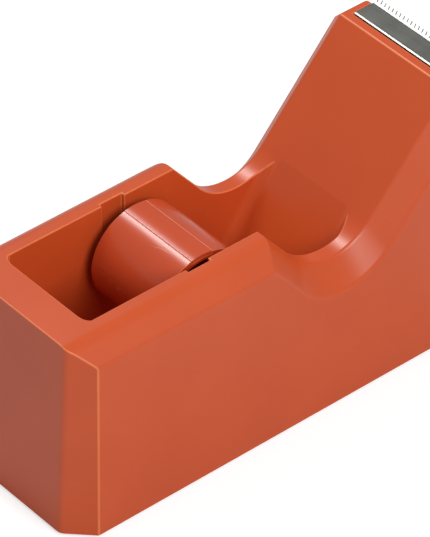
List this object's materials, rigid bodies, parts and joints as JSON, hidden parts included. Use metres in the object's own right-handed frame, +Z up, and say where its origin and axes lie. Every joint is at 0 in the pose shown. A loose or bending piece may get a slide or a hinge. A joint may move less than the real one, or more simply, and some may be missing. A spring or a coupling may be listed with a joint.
{
  "type": "tape dispenser",
  "caption": "Desk tape dispenser: a one-piece moulded body with a roll well, saddle and raised neck, a lift-out spinning hub and a serrated steel cutter.",
  "frame": {"origin": "on the desk, under the middle of the overall length, in the middle of the width", "axes": "+X from the rear rim to the cutter, +Y to the left seen from behind, +Z up"},
  "size_m": [0.124, 0.046, 0.0698],
  "materials": {
    "housing_plastic": "glossy moulded ABS, orange",
    "hub_plastic": "glossy moulded ABS, orange",
    "dark_plastic": "fine mould texture, black",
    "foot_rubber": "matt, black",
    "ballast_iron": "rough cast, grey",
    "cutter_steel": "rolled strip with a polished bead",
    "steel": "zinc plated"
  },
  "bodies": {
    "housing": {"housing": "housing_plastic", "base_plate": "dark_plastic", "base_screws": "steel", "foot_rear_left": "foot_rubber", "foot_rear_right": "foot_rubber", "foot_front_left": "foot_rubber", "foot_front_right": "foot_rubber", "ballast_block": "ballast_iron", "ballast_plate": "ballast_iron", "cutter": "cutter_steel"},
    "axle": {"hub_axle": "steel", "axle_collars": "dark_plastic"},
    "drum": {"hub_drum": "hub_plastic", "hub_strip": "hub_plastic"}
  },
  "joints": [
    {"name": "hub_lift", "type": "slide", "parent": "housing", "child": "axle", "axis": [-0.272, 0, 0.9623], "range_m": [0, 0.045]},
    {"name": "hub_spin", "type": "hinge", "parent": "axle", "child": "drum", "pos_m": [-0.0168, 0, 0.0396], "axis": [0, 1, 0], "continuous": true}
  ]
}
